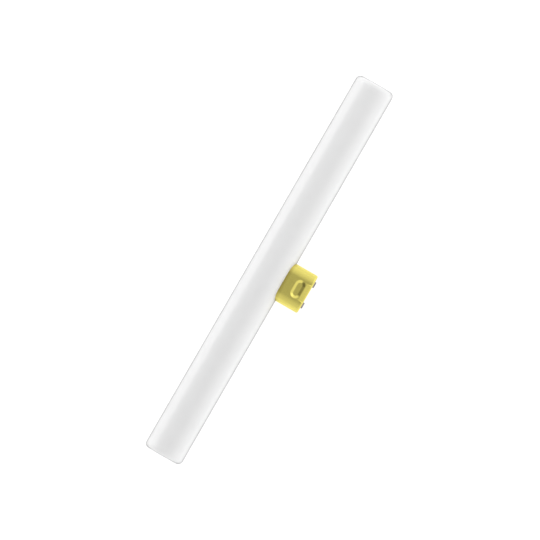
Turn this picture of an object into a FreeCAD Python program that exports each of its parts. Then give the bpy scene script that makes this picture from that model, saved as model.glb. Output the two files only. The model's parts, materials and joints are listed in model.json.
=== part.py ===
import FreeCAD, Part
import math
import os

V = FreeCAD.Vector

# Glass tube
TUBE_LENGTH = 300.0
TUBE_DIAMETER = 29.2
END_CORNER_RADIUS = 3.8
END_DOME = 0.3
GLASS_WALL = 0.85

# Cap shell, pressed from sheet; its height is measured from the crest of the glass
CAP_LENGTH = 29.9
CAP_WIDTH = 16.0
CAP_HEIGHT = 17.4
CAP_OFFSET = -1.75
CORNER_RADIUS = 5.0
SWELL_RADIUS = 13.5
FLAT_MARGIN = 0.4
SHEET = 0.4
EDGE_RADIUS = 1.4
LIP_WIDTH = 2.8
SEAT_FILM = 0.1

# Snap dimple in each side of the shell, placed from the cap's outer end
DIMPLE_LENGTH = 13.6
DIMPLE_WIDTH = 7.2
DIMPLE_FROM_END = 8.1
DIMPLE_DEPTH = 0.9
DIMPLE_SLOPE = 26.0
MOUTH_BEND = 1.0

# Sloped lead-in from the outer end to the dimple
RAMP_LENGTH = 4.0
RAMP_DEPTH = 1.1
RAMP_WIDTH = 12.5
RAMP_SIDE_SLOPE = 45.0

# Insulating plate and its contacts
PLATE_THICKNESS = 3.0
PLATE_CLEARANCE = 0.1
CONTACT_SPACING = 16.5
CONTACT_LENGTH = 4.5
CONTACT_WIDTH = 6.0
CONTACT_PROUD = 1.2
CONTACT_EDGE = 0.25
SHANK_LENGTH = 2.6
SHANK_WIDTH = 3.2
RIVET_LENGTH = 3.6
RIVET_WIDTH = 4.2
RIVET_THICKNESS = 0.8

# Glass press, leads and cement inside the cap; heights are from the crest of the glass
PRESS_NECK_DIAMETER = 12.0
PRESS_NECK_HEIGHT = 2.0
PRESS_LENGTH = 10.5
PRESS_THICKNESS = 3.2
PRESS_HEIGHT = 6.9
PRESS_CORNER = 0.8
LEAD_DIAMETER = 0.6
LEAD_SPACING = 8.0
LEAD_STUB = 1.2
CEMENT_HEIGHT = 3.4

TUBE_RADIUS = TUBE_DIAMETER / 2
SEAT_RADIUS = TUBE_RADIUS + SEAT_FILM
CAP_REACH = TUBE_RADIUS + CAP_HEIGHT
PRESS_REACH = TUBE_RADIUS + PRESS_HEIGHT
PLATE_FRONT = CAP_REACH - SHEET
PLATE_BACK = PLATE_FRONT - PLATE_THICKNESS
RIVET_BACK = PLATE_BACK - RIVET_THICKNESS

# Leg of the flat that touches a square corner's bend, as a share of the bend's radius
FLAT_LEG = 2 - math.sqrt(2)
CLEAR = 5.0


def edges_where(shape, test):
    """Edges whose start, middle and end all pass the test."""
    found = []
    for edge in shape.Edges:
        first = edge.FirstParameter
        last = edge.LastParameter
        places = [edge.valueAt(first), edge.valueAt((first + last) / 2), edge.valueAt(last)]
        if all(test(place) for place in places):
            found.append(edge)
    return found


def near(value, target):
    return abs(value - target) < 1e-4


def rounded_prism(length, width, radius, low, high):
    """A block with rounded upright edges, centred on the cap's axis."""
    block = Part.makeBox(length, width, high - low, V(-length / 2, -width / 2, low))
    upright = [edge for edge in block.Edges if near(abs(edge.tangentAt(0).z), 1)]
    return block.makeFillet(radius, upright)


def arc(centre, radius, start, end, up):
    """An arc between two angles, measured from +X towards the up direction."""
    places = []
    for angle in (start, (start + end) / 2, end):
        places.append(centre + (V(1, 0, 0) * math.cos(angle) + up * math.sin(angle)) * radius)
    return Part.Arc(*places).toShape()


def cap_plan(inset, low, high):
    """The cap's plan, drawn in by an even inset.

    Each side is flat past its dimple, and swells in an easy curve to a tighter corner.
    """
    side = CAP_WIDTH / 2 - inset
    end = CAP_LENGTH / 2 - inset
    flat = DIMPLE_LENGTH / 2 + FLAT_MARGIN
    swell = SWELL_RADIUS - inset
    corner = CORNER_RADIUS - inset
    turn = math.asin((end - corner - flat) / (swell - corner))
    level = side - swell + (swell - corner) * math.cos(turn)
    square = math.pi / 2
    up = V(0, 1, 0)
    bends = [
        arc(V(flat, side - swell, low), swell, square, square - turn, up),
        arc(V(end - corner, level, low), corner, square - turn, 0, up),
    ]
    bends += [bend.mirror(V(0, 0, 0), V(1, 0, 0)) for bend in bends]
    bends += [bend.mirror(V(0, 0, 0), V(0, 1, 0)) for bend in bends]
    for hand in (-1, 1):
        bends.append(Part.makeLine(V(-flat, hand * side, low), V(flat, hand * side, low)))
        bends.append(Part.makeLine(V(hand * end, -level, low), V(hand * end, level, low)))
    outline = Part.Wire(Part.__sortEdges__(bends))
    return Part.Face(outline).extrude(V(0, 0, high - low))


def tube_cylinder(radius):
    return Part.makeCylinder(radius, TUBE_LENGTH, V(-TUBE_LENGTH / 2, 0, 0), V(1, 0, 0))


def end_bends(half):
    """The right end's dome and corner, each an arc tangent to the next."""
    dome = (TUBE_RADIUS ** 2 + END_DOME ** 2) / (2 * END_DOME)
    rise = TUBE_RADIUS - END_CORNER_RADIUS
    meet = math.asin(rise / (dome - END_CORNER_RADIUS))
    centre = V(half - dome + rise / math.tan(meet), 0, rise)
    return [
        arc(V(half - dome, 0, 0), dome, 0, meet, V(0, 0, 1)),
        arc(centre, END_CORNER_RADIUS, meet, math.pi / 2, V(0, 0, 1)),
    ]


def glass_outside():
    """The tube as turned: a cylinder with slightly domed ends and rounded corners."""
    half = TUBE_LENGTH / 2
    right = end_bends(half)
    left = [edge.mirror(V(0, 0, 0), V(1, 0, 0)) for edge in right]
    shoulder = right[1].valueAt(right[1].LastParameter)
    side = Part.makeLine(V(-shoulder.x, 0, TUBE_RADIUS), shoulder)
    axis = Part.makeLine(V(-half, 0, 0), V(half, 0, 0))
    profile = Part.Wire(Part.__sortEdges__(left + right + [side, axis]))
    return Part.Face(profile).revolve(V(0, 0, 0), V(1, 0, 0), 360)


def envelope():
    """The sealed glass tube, hollow inside its wall."""
    length = TUBE_LENGTH - 2 * (END_DOME + GLASS_WALL)
    hollow = Part.makeCylinder(TUBE_RADIUS - GLASS_WALL, length, V(-length / 2, 0, 0), V(1, 0, 0))
    rings = [edge for edge in hollow.Edges if near(edge.BoundBox.XLength, 0)]
    hollow = hollow.makeChamfer((END_CORNER_RADIUS - GLASS_WALL) * FLAT_LEG, rings)
    return glass_outside().cut(hollow)


def dimple_cutter(inset):
    """The oval recess on the +Y side: two cones joined by a prism of the same slope."""
    height = CAP_REACH - DIMPLE_FROM_END
    half_span = (DIMPLE_LENGTH - DIMPLE_WIDTH) / 2
    slope = math.radians(DIMPLE_SLOPE)
    mouth_radius = DIMPLE_WIDTH / 2 + inset * math.tan(slope / 2)
    floor_radius = mouth_radius - DIMPLE_DEPTH / math.tan(slope)
    floor = CAP_WIDTH / 2 - DIMPLE_DEPTH - inset
    rise = DIMPLE_DEPTH + CLEAR
    top = floor + rise
    top_radius = floor_radius + rise / math.tan(slope)
    corners = [
        V(-half_span, floor, height - floor_radius),
        V(-half_span, floor, height + floor_radius),
        V(-half_span, top, height + top_radius),
        V(-half_span, top, height - top_radius),
    ]
    section = Part.Face(Part.makePolygon(corners + corners[:1]))
    cutter = section.extrude(V(2 * half_span, 0, 0))
    for x in (-half_span, half_span):
        cone = Part.makeCone(floor_radius, top_radius, rise, V(x, floor, height), V(0, 1, 0))
        cutter = cutter.fuse(cone)
    return cutter.removeSplitter()


def mouth_edges(form):
    """The edges that lie on the dimple's mouth, on either side."""
    height = CAP_REACH - DIMPLE_FROM_END
    half_span = (DIMPLE_LENGTH - DIMPLE_WIDTH) / 2

    def on_mouth(p):
        beyond = max(abs(p.x) - half_span, 0)
        across = math.hypot(beyond, p.z - height)
        return near(abs(p.y), CAP_WIDTH / 2) and near(across, DIMPLE_WIDTH / 2)

    return edges_where(form, on_mouth)


def cut_both_sides(form, cutter):
    return form.cut(cutter).cut(cutter.mirror(V(0, 0, 0), V(0, 1, 0)))


def press_dimples(form):
    """Sink the dimple into both sides, and bend its mouth."""
    form = cut_both_sides(form, dimple_cutter(0))
    return form.makeFillet(MOUTH_BEND, mouth_edges(form))


def ramp_cutter(inset):
    """What lies above the lead-in on the +Y side, its end turned over like the shell's edge."""
    slope = math.atan2(RAMP_DEPTH, RAMP_LENGTH)
    along = V(0, -math.sin(slope), math.cos(slope))
    out = V(0, math.cos(slope), math.sin(slope))
    side_slope = math.radians(RAMP_SIDE_SLOPE)
    half = RAMP_WIDTH / 2 + inset * math.tan(side_slope / 2)
    start = V(-half, CAP_WIDTH / 2, CAP_REACH - RAMP_LENGTH) - out * inset
    radius = EDGE_RADIUS - inset
    centre_height = CAP_REACH - EDGE_RADIUS
    run = (centre_height + radius * out.z - start.z) / along.z
    turn_start = start + along * run
    centre = turn_start - out * radius
    turn_end = centre + V(0, 0, radius)
    if inset > 0:
        turn = Part.makeLine(turn_start, turn_end)
    else:
        halfway = (math.pi / 2 + slope) / 2
        turn_middle = centre + V(0, math.cos(halfway), math.sin(halfway)) * radius
        turn = Part.Arc(turn_start, turn_middle, turn_end).toShape()
    corners = [
        turn_end,
        V(-half, centre.y, CAP_REACH + CLEAR),
        V(-half, CAP_WIDTH / 2 + CLEAR, CAP_REACH + CLEAR),
        V(-half, CAP_WIDTH / 2 + CLEAR, start.z - CLEAR),
        start - along * CLEAR,
        turn_start,
    ]
    profile = Part.Face(Part.Wire([turn] + Part.makePolygon(corners).Edges))
    cutter = profile.extrude(V(2 * half, 0, 0))
    rise = RAMP_DEPTH + CLEAR
    for hand in (-1, 1):
        flank = profile.copy()
        flank.translate(V(half + hand * half, 0, 0))
        cutter = cutter.fuse(flank.extrude(V(hand * rise / math.tan(side_slope), 0, 0) + out * rise))
    return cutter.removeSplitter()


def cap_outside():
    """The shell's outside, standing on the glass and cut to its curve."""
    form = cap_plan(0, 0, CAP_REACH).cut(tube_cylinder(SEAT_RADIUS))
    form = form.makeFillet(EDGE_RADIUS, edges_where(form, lambda p: near(p.z, CAP_REACH)))
    form = press_dimples(form)
    return cut_both_sides(form, ramp_cutter(0))


def cap_inside(inset):
    """A form evenly inside the shell's outside, with a flat in place of each hidden bend."""
    top = CAP_REACH - inset
    form = cap_plan(inset, 0, top)
    end = edges_where(form, lambda p: near(p.z, top))
    form = form.makeChamfer((EDGE_RADIUS - inset) * FLAT_LEG, end)
    form = cut_both_sides(form, dimple_cutter(inset))
    return cut_both_sides(form, ramp_cutter(inset))


def cap_shell():
    """The pressed shell: even sheet, trimmed to the glass, with a lip turned in on the plate."""
    lip_opening = cap_plan(LIP_WIDTH, PLATE_BACK, CAP_REACH + CLEAR)
    return cap_outside().cut(cap_inside(SHEET)).cut(lip_opening)


def contact_block(length, width, low, high, hand):
    centre = hand * CONTACT_SPACING / 2
    corner = V(centre - length / 2, -width / 2, low)
    return Part.makeBox(length, width, high - low, corner)


def contact(hand):
    """A riveted contact: head outside, shank through the plate, upset head behind."""
    top = CAP_REACH + CONTACT_PROUD
    head = contact_block(CONTACT_LENGTH, CONTACT_WIDTH, CAP_REACH, top, hand)
    head = head.makeChamfer(CONTACT_EDGE, edges_where(head, lambda p: near(p.z, top)))
    shank = contact_block(SHANK_LENGTH, SHANK_WIDTH, PLATE_BACK, CAP_REACH, hand)
    rivet = contact_block(RIVET_LENGTH, RIVET_WIDTH, RIVET_BACK, PLATE_BACK, hand)
    return head.fuse(shank).fuse(rivet).removeSplitter()


def contact_plate():
    """The insulating plate: it backs the lip, fills its opening and holds the contacts."""
    slab = cap_plan(0, PLATE_BACK, PLATE_FRONT)
    plate = cap_inside(SHEET + PLATE_CLEARANCE).common(slab)
    island = cap_plan(LIP_WIDTH + PLATE_CLEARANCE, PLATE_BACK, CAP_REACH)
    plate = plate.fuse(island)
    for hand in (-1, 1):
        plate = plate.cut(contact_block(SHANK_LENGTH, SHANK_WIDTH, PLATE_BACK, CAP_REACH, hand))
    return plate.removeSplitter()


def stem_press():
    """The glass press: round where it leaves the tube, pinched flat round the leads."""
    neck = Part.makeCylinder(PRESS_NECK_DIAMETER / 2, TUBE_RADIUS + PRESS_NECK_HEIGHT)
    pinch = rounded_prism(PRESS_LENGTH, PRESS_THICKNESS, PRESS_CORNER, TUBE_RADIUS, PRESS_REACH)
    return neck.fuse(pinch).cut(tube_cylinder(TUBE_RADIUS)).removeSplitter()


def lead(hand):
    """A stiff wire from the press to the back of its contact, with a kink near each end."""
    start = V(hand * LEAD_SPACING / 2, 0, PRESS_REACH)
    end = V(hand * CONTACT_SPACING / 2, 0, RIVET_BACK)
    stub = V(0, 0, LEAD_STUB)
    ring = Part.Wire(Part.makeCircle(LEAD_DIAMETER / 2, start, V(0, 0, 1)))
    return Part.makePolygon([start, start + stub, end - stub, end]).makePipeShell([ring], True, False, 1)


def basing_cement(press):
    """The cement between shell and glass, round the press."""
    fill = cap_inside(SHEET).common(cap_plan(0, 0, TUBE_RADIUS + CEMENT_HEIGHT))
    return fill.cut(tube_cylinder(TUBE_RADIUS)).cut(press).removeSplitter()


def cap_pieces():
    """Every piece on the cap's axis, before it is moved along the tube."""
    press = stem_press()
    return {
        "stem_press": press,
        "basing_cement": basing_cement(press),
        "cap_shell": cap_shell(),
        "contact_plate": contact_plate(),
        "contact_left": contact(-1),
        "contact_right": contact(1),
        "lead_left": lead(-1),
        "lead_right": lead(1),
    }


def resting_tilt():
    """Degrees by which the cap droops until its lower edge and the tube both touch."""
    across = CAP_WIDTH / 2 - EDGE_RADIUS
    along = CAP_REACH - EDGE_RADIUS
    drop = math.asin((TUBE_RADIUS - EDGE_RADIUS) / math.hypot(across, along))
    return math.degrees(drop - math.atan2(across, along))


def laid_down(pieces):
    """Turn the lamp to its rest, and put the origin under the middle of its box."""
    turned = {}
    for name, shape in pieces.items():
        turned[name] = shape.copy()
        turned[name].rotate(V(0, 0, 0), V(1, 0, 0), 90 + resting_tilt())
    box = Part.makeCompound(list(turned.values())).optimalBoundingBox(False)
    for shape in turned.values():
        shape.translate(V(0, -(box.YMin + box.YMax) / 2, TUBE_RADIUS))
    return turned


def main():
    pieces = {"envelope": envelope()}
    for name, shape in cap_pieces().items():
        shape.translate(V(CAP_OFFSET, 0, 0))
        pieces[name] = shape
    os.makedirs("parts", exist_ok=True)
    for name, shape in laid_down(pieces).items():
        if len(shape.Solids) != 1 or not shape.isValid():
            raise ValueError(f"{name} is not one valid solid")
        shape.Solids[0].exportStep(f"parts/{name}.step")
        print(f"{name} {shape.Volume:.2f} mm3")
    print(f"rests with the cap {resting_tilt():.2f} degrees down")


main()
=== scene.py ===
import json
import math

import bmesh
import bpy
from mathutils import Matrix, Vector


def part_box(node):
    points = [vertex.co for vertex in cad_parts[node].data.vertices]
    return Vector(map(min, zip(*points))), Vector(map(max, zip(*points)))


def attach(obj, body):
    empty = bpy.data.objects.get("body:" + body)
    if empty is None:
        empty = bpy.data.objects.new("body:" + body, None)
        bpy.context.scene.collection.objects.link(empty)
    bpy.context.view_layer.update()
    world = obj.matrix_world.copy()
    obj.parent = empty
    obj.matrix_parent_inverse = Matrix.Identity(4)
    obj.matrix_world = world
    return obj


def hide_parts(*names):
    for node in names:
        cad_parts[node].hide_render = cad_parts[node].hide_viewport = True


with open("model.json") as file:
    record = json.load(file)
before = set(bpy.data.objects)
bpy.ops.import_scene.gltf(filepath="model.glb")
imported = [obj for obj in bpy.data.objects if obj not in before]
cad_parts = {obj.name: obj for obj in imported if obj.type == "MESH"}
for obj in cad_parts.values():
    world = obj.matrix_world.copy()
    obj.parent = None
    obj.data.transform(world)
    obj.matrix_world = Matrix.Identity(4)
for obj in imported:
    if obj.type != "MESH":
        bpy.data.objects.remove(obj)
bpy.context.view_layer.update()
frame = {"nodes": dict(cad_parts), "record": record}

# Where the lamp lies
# The glass tube rests along X on the table, and the cap droops until its lower edge touches too.
# The cap's own mount gives the way that it points, and the other directions follow from it.
MM = 0.001
mounts = {mount["name"]: mount for mount in frame["record"]["mounts"]}
tube_low, tube_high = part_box("envelope")
tube_centre = (tube_low + tube_high) / 2
tube_radius = (tube_high.z - tube_low.z) / 2
tube_length = tube_high.x - tube_low.x
along_tube = Vector((1, 0, 0))
cap_out = Vector(mounts["cap_end"]["axis"]).normalized()
cap_side = cap_out.cross(along_tube)

# Camera
# A parallel view square on to the cap's side, with the tube rising steeply to the right.
# The two offsets centre the picture, in pixels of its 540 by 540 frame.
FRAME_PX = 540
TUBE_RISE_DEGREES = 60
MM_PER_PX = 0.6984
OFFSET_RIGHT_PX = 0.633
OFFSET_DOWN_PX = 0.107
CAMERA_DISTANCE = 1.2

rise = math.radians(TUBE_RISE_DEGREES)
screen_right = math.cos(rise) * along_tube + math.sin(rise) * cap_out
screen_up = math.sin(rise) * along_tube - math.cos(rise) * cap_out
camera_data = bpy.data.cameras.new("camera")
camera_data.type = "ORTHO"
camera_data.ortho_scale = FRAME_PX * MM_PER_PX * MM
camera = bpy.data.objects.new("camera", camera_data)
bpy.context.collection.objects.link(camera)
aim = tube_centre + (screen_right * OFFSET_RIGHT_PX - screen_up * OFFSET_DOWN_PX) * MM_PER_PX * MM
turn = Matrix((screen_right, screen_up, cap_side)).transposed().to_4x4()
camera.matrix_world = Matrix.Translation(aim + cap_side * CAMERA_DISTANCE) @ turn
bpy.context.scene.camera = camera

# Glass tube
# Opal soda-lime tubing, drawn to size, both ends softened in a flame and closed to a
# shallow dome with a rounded shoulder. One smooth, satin white skin without a seam.
SHOULDER = 3.8 * MM
SHOULDER_STEPS = 12
END_DOME = 0.3 * MM
DOME_RINGS = 6
TUBE_SIDES = 160
OPAL = "#F6F6F6"
OPAL_CLOUD = "#F2F2F2"
# This grey and the Fresnel range below paint a shade on the tube's rim, a painted dark outline.
RIM_SHADE_GREY = "#8C8C8C"
GLASS_IOR = 1.5
RIM_SHADE_FRESNEL = (0.08, 0.4)
MILK_SHARE = 0.6
MILK_DEPTH = 4 * MM
OPAL_ROUGHNESS = (0.3, 0.4)
CLOUD_SIZE = 9 * MM
DRAW_LINE = 1.2 * MM
DRAW_STRETCH = 60
DRAW_LINE_DEPTH = 0.004 * MM
DRAW_LINE_STRENGTH = 0.05


def linear(hex_colour):
    """An sRGB hex colour as linear RGBA."""
    shares = [int(hex_colour[k:k + 2], 16) / 255 for k in (1, 3, 5)]
    return [s / 12.92 if s <= 0.04045 else ((s + 0.055) / 1.055) ** 2.4 for s in shares] + [1]


def add(tree, kind, values=None, links=None, **settings):
    """Adds a shader node with its settings, socket values and links."""
    node = tree.nodes.new("ShaderNode" + kind)
    for name, value in settings.items():
        setattr(node, name, value)
    for name, value in (values or {}).items():
        node.inputs[name].default_value = value
    for name, output in (links or {}).items():
        tree.links.new(output, node.inputs[name])
    return node


def new_material(name):
    """An empty material, with its node tree."""
    material = bpy.data.materials.new(name)
    material.use_nodes = True
    material.node_tree.nodes.clear()
    return material, material.node_tree


def new_piece(name, bm, material):
    """Makes a finished mesh a piece of the lamp, riding on its one body."""
    mesh = bpy.data.meshes.new(name)
    bm.to_mesh(mesh)
    bm.free()
    mesh.materials.append(material)
    piece = bpy.data.objects.new(name, mesh)
    bpy.context.collection.objects.link(piece)
    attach(piece, "root")
    return piece


def dome_height(radius):
    """How far the end's dome stands back from its crown at this radius."""
    return END_DOME * (radius / tube_radius) ** 2


flat_radius = tube_radius - SHOULDER
bm = bmesh.new()
bmesh.ops.create_cone(
    bm, cap_ends=True, segments=TUBE_SIDES, radius1=tube_radius, radius2=tube_radius,
    depth=tube_length - 2 * dome_height(flat_radius),
)
rims = [edge for edge in bm.edges if abs(edge.verts[0].co.z - edge.verts[1].co.z) < MM]
bmesh.ops.bevel(
    bm, geom=rims, offset=SHOULDER, segments=SHOULDER_STEPS, profile=0.5,
    affect="EDGES", material=-1,
)
ends = [face for face in bm.faces if len(face.verts) == TUBE_SIDES]
for ring in range(1, DOME_RINGS + 1):
    bmesh.ops.inset_individual(bm, faces=ends, thickness=flat_radius / (DOME_RINGS + 1))
    height = tube_length / 2 - dome_height(flat_radius * (1 - ring / (DOME_RINGS + 1)))
    for face in ends:
        for vert in face.verts:
            vert.co.z = math.copysign(height, vert.co.z)
crowns = bmesh.ops.poke(bm, faces=ends)["verts"]
for vert in crowns:
    vert.co.z = math.copysign(tube_length / 2, vert.co.z)
for face in bm.faces:
    face.smooth = True
bmesh.ops.transform(
    bm, verts=bm.verts,
    matrix=Matrix.Translation(tube_centre) @ Matrix.Rotation(math.pi / 2, 4, "Y"),
)

# Opal glass, drawn: milky white under a clear skin, with faint clouding and long, hardly seen
# draw lines. Light wanders in the milky layer. At a slant its colour is painted grey, a painted
# shade that draws a dark rim along the tube's outline.
opal, tree = new_material("opal_glass_drawn")
place = add(tree, "TexCoord").outputs["Object"]
cloud = add(tree, "TexNoise", {"Scale": 1 / CLOUD_SIZE, "Detail": 3}, {"Vector": place})
along = add(tree, "Mapping", {"Scale": (1 / DRAW_STRETCH, 1, 1)}, {"Vector": place})
lines = add(tree, "TexNoise", {"Scale": 1 / DRAW_LINE, "Detail": 2}, {"Vector": along.outputs[0]})
tone = add(
    tree, "Mix", {6: linear(OPAL_CLOUD), 7: linear(OPAL)}, {0: cloud.outputs[0]}, data_type="RGBA"
)
sheen = add(
    tree, "MapRange", {"To Min": OPAL_ROUGHNESS[0], "To Max": OPAL_ROUGHNESS[1]},
    {"Value": cloud.outputs[0]},
)
relief = add(
    tree, "Bump", {"Strength": DRAW_LINE_STRENGTH, "Distance": DRAW_LINE_DEPTH},
    {"Height": lines.outputs[0]},
)
# Painted shade: the Fresnel term mixes the opal's tone toward grey at a slant, a painted dark
# rim.
slant = add(tree, "Fresnel", {"IOR": GLASS_IOR})
edge = add(
    tree, "MapRange", {"From Min": RIM_SHADE_FRESNEL[0], "From Max": RIM_SHADE_FRESNEL[1]},
    {"Value": slant.outputs[0]},
)
milk_and_rim_shade = add(
    tree, "Mix", {7: linear(RIM_SHADE_GREY)}, {0: edge.outputs[0], 6: tone.outputs[2]},
    data_type="RGBA",
)
skin = add(
    tree, "BsdfPrincipled",
    {
        "IOR": GLASS_IOR, "Subsurface Weight": MILK_SHARE, "Subsurface Radius": (1, 1, 1),
        "Subsurface Scale": MILK_DEPTH,
    },
    {"Base Color": milk_and_rim_shade.outputs[2], "Roughness": sheen.outputs[0], "Normal": relief.outputs[0]},
)
add(tree, "OutputMaterial", links={"Surface": skin.outputs[0]})

tube = new_piece("opal_tube", bm, opal)
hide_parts("envelope")

# Glass press
# Clear lead glass, pinched flat round the two wires while soft, and fused to the tube. The
# cement and the shell hide it.
PRESS_GLASS = "#E4EFEA"
PRESS_ROUGHNESS = 0.05
LEAD_GLASS_IOR = 1.52
CLEARNESS = 0.9
PINCH_RIPPLE = 1.5 * MM
PINCH_DEPTH = 0.05 * MM
PINCH_STRENGTH = 0.3

# Lead glass, pressed: clear and glossy, with the soft ripple that the pinching jaws leave.
press_glass, tree = new_material("clear_glass_pressed")
place = add(tree, "TexCoord").outputs["Object"]
ripple = add(tree, "TexNoise", {"Scale": 1 / PINCH_RIPPLE, "Detail": 1}, {"Vector": place})
relief = add(
    tree, "Bump", {"Strength": PINCH_STRENGTH, "Distance": PINCH_DEPTH},
    {"Height": ripple.outputs[0]},
)
skin = add(
    tree, "BsdfPrincipled",
    {
        "Base Color": linear(PRESS_GLASS), "Roughness": PRESS_ROUGHNESS, "IOR": LEAD_GLASS_IOR,
        "Transmission Weight": CLEARNESS,
    },
    {"Normal": relief.outputs[0]},
)
add(tree, "OutputMaterial", links={"Surface": skin.outputs[0]})


def finish_node(node, material):
    """Gives a piece that keeps its shape its real surface."""
    mesh = frame["nodes"][node].data
    mesh.materials.clear()
    mesh.materials.append(material)


finish_node("stem_press", press_glass)

# Lead wires
# Two stiff nickel-iron wires with a copper skin, sealed in the press, kinked outwards and
# joined to the backs of the contacts.
WIRE = "#B08267"
WIRE_OXIDE = "#8C6654"
OXIDE_SPOT = 0.8 * MM
WIRE_ROUGHNESS = 0.35

# Copper skin, drawn: reddish and half bright, with browner spots where it has oxidised.
wire, tree = new_material("copper_clad_wire_drawn")
place = add(tree, "TexCoord").outputs["Object"]
spots = add(tree, "TexNoise", {"Scale": 1 / OXIDE_SPOT, "Detail": 2}, {"Vector": place})
tone = add(
    tree, "Mix", {6: linear(WIRE_OXIDE), 7: linear(WIRE)}, {0: spots.outputs[0]}, data_type="RGBA"
)
skin = add(
    tree, "BsdfPrincipled", {"Metallic": 1, "Roughness": WIRE_ROUGHNESS},
    {"Base Color": tone.outputs[2]},
)
add(tree, "OutputMaterial", links={"Surface": skin.outputs[0]})
finish_node("lead_left", wire)
finish_node("lead_right", wire)

# Basing cement
# A paste of marble flour and resin, filled in between the shell and the glass, then baked
# hard in place.
CEMENT = "#CBBFA6"
CEMENT_DARK = "#B3A68B"
CEMENT_ROUGHNESS = 0.9
GRIT = 0.25 * MM
GRIT_DEPTH = 0.1 * MM
GRIT_STRENGTH = 0.6

# Filled resin, baked: dull, cream and gritty.
cement, tree = new_material("basing_cement_baked")
place = add(tree, "TexCoord").outputs["Object"]
grit = add(tree, "TexNoise", {"Scale": 1 / GRIT, "Detail": 4}, {"Vector": place})
tone = add(
    tree, "Mix", {6: linear(CEMENT_DARK), 7: linear(CEMENT)}, {0: grit.outputs[0]},
    data_type="RGBA",
)
relief = add(
    tree, "Bump", {"Strength": GRIT_STRENGTH, "Distance": GRIT_DEPTH}, {"Height": grit.outputs[0]}
)
skin = add(
    tree, "BsdfPrincipled", {"Roughness": CEMENT_ROUGHNESS},
    {"Base Color": tone.outputs[2], "Normal": relief.outputs[0]},
)
add(tree, "OutputMaterial", links={"Surface": skin.outputs[0]})
finish_node("basing_cement", cement)

# Cement film
# The same cement, squeezed thin between the shell's cut rim and the glass. It fills the
# clearance under the rim, from the rim's own face down into the tube's skin.
FILM_SINK = 0.02 * MM
WELD = 0.001 * MM

bm = bmesh.new()
bm.from_mesh(frame["nodes"]["cap_shell"].data)
bmesh.ops.remove_doubles(bm, verts=bm.verts, dist=WELD)


def from_tube_axis(point):
    """The part of a point's place that leads straight away from the tube's axis."""
    return Vector((0, point.y - tube_centre.y, point.z - tube_centre.z))


rim_radius = min(from_tube_axis(vert.co).length for vert in bm.verts)
above_rim = [
    face for face in bm.faces
    if any(from_tube_axis(vert.co).length > rim_radius + FILM_SINK for vert in face.verts)
]
bmesh.ops.delete(bm, geom=above_rim, context="FACES")
sunk = bmesh.ops.extrude_face_region(bm, geom=bm.faces[:], use_keep_orig=True)["geom"]
for vert in sunk:
    if isinstance(vert, bmesh.types.BMVert):
        away = from_tube_axis(vert.co)
        vert.co -= away * (1 - (tube_radius - FILM_SINK) / away.length)
bmesh.ops.recalc_face_normals(bm, faces=bm.faces)
new_piece("cement_film", bm, cement)

# Cap shell
# Thin brass sheet, deep drawn to a rounded box, trimmed to the curve of the glass and
# pressed again for the oval dimple and the sloped lead-in on each side.
CREASE_DEGREES = 20
BRASS = "#EFE27A"
BRASS_DULL = "#E6D872"
# The darker brass below is painted shade, laid on beside the glass where the shell meets the
# tube.
BRASS_JOINT_SHADE = "#D3C568"
BRASS_ROUGHNESS = (0.2, 0.27)
STAIN_SIZE = 3.5 * MM
GRAIN = 0.12 * MM
GRAIN_STRETCH = 25
GRAIN_DEPTH = 0.01 * MM
GRAIN_STRENGTH = 0.15
# The band of painted shade beside the glass: full up to the first distance, gone by the second.
JOINT_SHADE_FROM = 0.6 * MM
JOINT_SHADE_TO = 2.6 * MM

bm = bmesh.new()
bm.from_mesh(frame["nodes"]["cap_shell"].data)
bmesh.ops.remove_doubles(bm, verts=bm.verts, dist=WELD)
for face in bm.faces:
    face.smooth = True
for edge in bm.edges:
    edge.smooth = edge.calc_face_angle(math.pi) < math.radians(CREASE_DEGREES)

# Brass, rolled and drawn: satin yellow with fine straight grain and faint finger stains.
# Beside the glass it is painted a shade darker, a painted shade along the joint with the tube.
brass, tree = new_material("brass_sheet_drawn")
place = add(tree, "TexCoord").outputs["Object"]
stain = add(tree, "TexNoise", {"Scale": 1 / STAIN_SIZE, "Detail": 4}, {"Vector": place})
along = add(tree, "Mapping", {"Scale": (1 / GRAIN_STRETCH, 1, 1)}, {"Vector": place})
grain = add(tree, "TexNoise", {"Scale": 1 / GRAIN, "Detail": 3}, {"Vector": along.outputs[0]})
tone = add(
    tree, "Mix", {6: linear(BRASS_DULL), 7: linear(BRASS)}, {0: stain.outputs[0]},
    data_type="RGBA",
)
from_axis = add(
    tree, "VectorMath", {1: (0, -tube_centre.y, -tube_centre.z)}, {0: place}, operation="ADD"
)
across = add(
    tree, "VectorMath", {1: (0, 1, 1)}, {0: from_axis.outputs[0]}, operation="MULTIPLY"
)
distance = add(tree, "VectorMath", links={0: across.outputs[0]}, operation="LENGTH")
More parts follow.
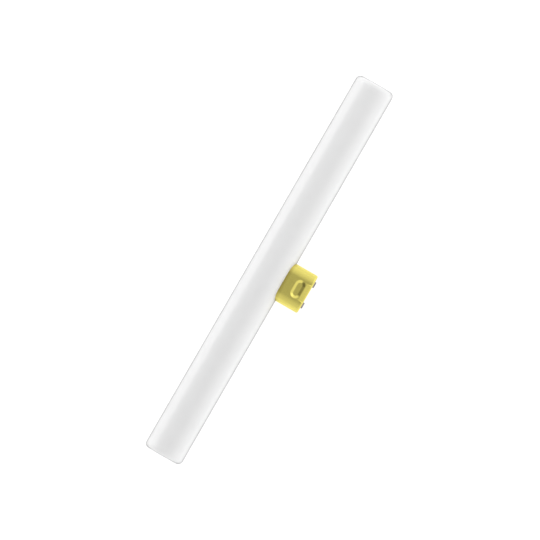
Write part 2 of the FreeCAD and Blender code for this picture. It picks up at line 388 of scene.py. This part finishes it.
# Painted shade: the brass darkens within a few millimetres of the glass, where the shell meets
# the tube.
joint_shade_mask = add(
    tree, "MapRange",
    {
        "From Min": tube_radius + JOINT_SHADE_FROM, "From Max": tube_radius + JOINT_SHADE_TO,
        "To Min": 1, "To Max": 0,
    },
    {"Value": distance.outputs["Value"]}, interpolation_type="SMOOTHSTEP",
)
brass_with_joint_shade = add(
    tree, "Mix", {7: linear(BRASS_JOINT_SHADE)}, {0: joint_shade_mask.outputs[0], 6: tone.outputs[2]},
    data_type="RGBA",
)
sheen = add(
    tree, "MapRange", {"To Min": BRASS_ROUGHNESS[0], "To Max": BRASS_ROUGHNESS[1]},
    {"Value": stain.outputs[0]},
)
relief = add(
    tree, "Bump", {"Strength": GRAIN_STRENGTH, "Distance": GRAIN_DEPTH},
    {"Height": grain.outputs[0]},
)
skin = add(
    tree, "BsdfPrincipled", {"Metallic": 1},
    {
        "Base Color": brass_with_joint_shade.outputs[2], "Roughness": sheen.outputs[0],
        "Normal": relief.outputs[0],
    },
)
add(tree, "OutputMaterial", links={"Surface": skin.outputs[0]})

shell = new_piece("brass_shell", bm, brass)
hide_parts("cap_shell")
even = shell.modifiers.new("even_shading", "WEIGHTED_NORMAL")
even.keep_sharp = True

# Contact plate
# A dark moulded plate of phenolic resin that closes the cap's end behind the shell's lip
# and holds the two contacts apart.
RESIN = "#2B2522"
RESIN_FLOW = "#3A322D"
RESIN_ROUGHNESS = (0.45, 0.6)
RESIN_IOR = 1.55
FLOW_SIZE = 2.5 * MM
FLOW_DEPTH = 0.03 * MM
FLOW_STRENGTH = 0.2

# Phenolic resin, moulded: nearly black and half matt, clouded where it flowed in the mould.
resin, tree = new_material("phenolic_resin_moulded")
place = add(tree, "TexCoord").outputs["Object"]
flow = add(tree, "TexNoise", {"Scale": 1 / FLOW_SIZE, "Detail": 5}, {"Vector": place})
tone = add(
    tree, "Mix", {6: linear(RESIN), 7: linear(RESIN_FLOW)}, {0: flow.outputs[0]},
    data_type="RGBA",
)
sheen = add(
    tree, "MapRange", {"To Min": RESIN_ROUGHNESS[0], "To Max": RESIN_ROUGHNESS[1]},
    {"Value": flow.outputs[0]},
)
relief = add(
    tree, "Bump", {"Strength": FLOW_STRENGTH, "Distance": FLOW_DEPTH}, {"Height": flow.outputs[0]}
)
skin = add(
    tree, "BsdfPrincipled", {"IOR": RESIN_IOR},
    {"Base Color": tone.outputs[2], "Roughness": sheen.outputs[0], "Normal": relief.outputs[0]},
)
add(tree, "OutputMaterial", links={"Surface": skin.outputs[0]})
finish_node("contact_plate", resin)

# Contacts
# Two flat blocks of nickel-plated brass with a small chamfer, riveted through the plate,
# where the holder's springs press on them.
PLATING = "#CFC9C8"
PLATING_WORN = "#B5AFAE"
PLATING_ROUGHNESS = 0.45
RUB_LINE = 0.15 * MM
RUB_STRETCH = 12
RUB_DEPTH = 0.01 * MM
RUB_STRENGTH = 0.2

# Nickel, plated: dull grey, with fine scratches where the springs rub.
plating, tree = new_material("nickel_plating_dull")
place = add(tree, "TexCoord").outputs["Object"]
along = add(tree, "Mapping", {"Scale": (1 / RUB_STRETCH, 1, 1)}, {"Vector": place})
rubs = add(tree, "TexNoise", {"Scale": 1 / RUB_LINE, "Detail": 3}, {"Vector": along.outputs[0]})
tone = add(
    tree, "Mix", {6: linear(PLATING_WORN), 7: linear(PLATING)}, {0: rubs.outputs[0]},
    data_type="RGBA",
)
relief = add(
    tree, "Bump", {"Strength": RUB_STRENGTH, "Distance": RUB_DEPTH}, {"Height": rubs.outputs[0]}
)
skin = add(
    tree, "BsdfPrincipled", {"Metallic": 1, "Roughness": PLATING_ROUGHNESS},
    {"Base Color": tone.outputs[2], "Normal": relief.outputs[0]},
)
add(tree, "OutputMaterial", links={"Surface": skin.outputs[0]})
finish_node("contact_left", plating)
finish_node("contact_right", plating)

# Light table
# A plain sheet of frosted white plastic, lit from below. Its own light is nearly all of what
# it shows, so the lamp that lies on it casts hardly a shadow.
TABLE_SIZE = 14
TABLE_WHITE = "#8C8C8C"
TABLE_ROUGHNESS = 0.9
TABLE_GLOW = 0.94
GLOW_COLOUR = "#FFFFFF"

bm = bmesh.new()
bmesh.ops.create_grid(bm, x_segments=1, y_segments=1, size=TABLE_SIZE / 2)
table_mesh = bpy.data.meshes.new("table")
bm.to_mesh(table_mesh)
bm.free()
white, tree = new_material("white_table")
skin = add(
    tree, "BsdfPrincipled",
    {
        "Base Color": linear(TABLE_WHITE), "Roughness": TABLE_ROUGHNESS,
        "Specular IOR Level": 0, "Emission Color": linear(GLOW_COLOUR),
        "Emission Strength": TABLE_GLOW,
    },
)
add(tree, "OutputMaterial", links={"Surface": skin.outputs[0]})
table_mesh.materials.append(white)
table = bpy.data.objects.new("table", table_mesh)
bpy.context.collection.objects.link(table)

# Studio light
# White walls, a dimmer ceiling where the camera hangs, and a dark curtain high on one side,
# which shades the dimple's outer edge. A wide soft lamp opposite lights the inner edge, and a
# long strip lamp lights the tube's far side.
SKY_STRENGTH = 1.09
SKY_CROSSWISE = 0.75
# Each level of the walls and ceiling stands at the cosine of its angle from the ceiling's
# middle.
SKY_BY_COSINE = {
    0.0: 0.94, 0.5: 0.93, 0.707: 0.9, 0.819: 0.85,
    0.899: 0.79, 0.954: 0.69, 0.988: 0.54, 1.0: 0.38,
}
CURTAIN_TURN_DEGREES = 212
CURTAIN_LEAN_DEGREES = 52
CURTAIN_CENTRE = math.cos(math.radians(18))
CURTAIN_EDGE = math.cos(math.radians(46))
CURTAIN_LEVEL = 0.18
UNDER_TABLE_EXTRA = 0.3
# Each lamp: watts, width, length, and the way to it, as shares of cap_out, along_tube and
# cap_side.
LAMP_DISTANCE = 1.5
LAMPS = {
    "soft_key": (1.2, 1.0, 1.0, (0.49, 0.62, 0.61)),
    "tube_strip": (7.5, 0.35, 1.6, (-0.98, 0, 0.2)),
}

scene = bpy.context.scene
scene.view_settings.view_transform = "Standard"
scene.world = bpy.data.worlds.new("studio")
scene.world.use_nodes = True
tree = scene.world.node_tree
tree.nodes.clear()
direction = add(tree, "TexCoord").outputs["Generated"]
upwards = add(tree, "VectorMath", {1: cap_side}, {0: direction}, operation="DOT_PRODUCT")
crosswise = add(
    tree, "VectorMath", {1: cap_out * SKY_CROSSWISE}, {0: direction}, operation="DOT_PRODUCT"
)
panel = add(
    tree, "CombineXYZ", links={0: upwards.outputs["Value"], 1: crosswise.outputs["Value"]}
)
reach = add(tree, "VectorMath", links={0: panel.outputs[0]}, operation="LENGTH")
ramp = add(tree, "ValToRGB", links={0: reach.outputs["Value"]})
ramp.color_ramp.interpolation = "EASE"
stops = ramp.color_ramp.elements
while len(stops) < len(SKY_BY_COSINE):
    stops.new(0.5)
for stop, (cosine, level) in zip(stops, sorted(SKY_BY_COSINE.items())):
    stop.position = cosine
    stop.color = (level, level, level, 1)
curtain_turn = math.radians(CURTAIN_TURN_DEGREES)
curtain_lean = math.radians(CURTAIN_LEAN_DEGREES)
curtain_way = math.cos(curtain_turn) * cap_out + math.sin(curtain_turn) * along_tube
curtain_way = math.sin(curtain_lean) * curtain_way + math.cos(curtain_lean) * cap_side
nearness = add(tree, "VectorMath", {1: curtain_way}, {0: direction}, operation="DOT_PRODUCT")
shade = add(
    tree, "MapRange",
    {
        "From Min": CURTAIN_EDGE, "From Max": CURTAIN_CENTRE,
        "To Min": SKY_STRENGTH, "To Max": SKY_STRENGTH * CURTAIN_LEVEL,
    },
    {"Value": nearness.outputs["Value"]}, interpolation_type="SMOOTHSTEP",
)
height = add(tree, "SeparateXYZ", links={0: direction}).outputs["Z"]
under = add(tree, "Math", {1: 0}, {0: height}, operation="LESS_THAN")
strength = add(
    tree, "Math", {1: UNDER_TABLE_EXTRA}, {0: under.outputs[0], 2: shade.outputs[0]},
    operation="MULTIPLY_ADD",
)
sky = add(tree, "Background", links={"Color": ramp.outputs[0], "Strength": strength.outputs[0]})
add(tree, "OutputWorld", links={"Surface": sky.outputs[0]})

for name, (watts, width, length, shares) in LAMPS.items():
    light = bpy.data.lights.new(name, "AREA")
    light.shape = "RECTANGLE"
    light.size = length
    light.size_y = width
    light.energy = watts
    lamp = bpy.data.objects.new(name, light)
    bpy.context.collection.objects.link(lamp)
    way = (shares[0] * cap_out + shares[1] * along_tube + shares[2] * cap_side).normalized()
    across_way = way.cross(along_tube).normalized()
    turn = Matrix((across_way.cross(way), across_way, way)).transposed().to_4x4()
    lamp.matrix_world = Matrix.Translation(tube_centre + way * LAMP_DISTANCE) @ turn
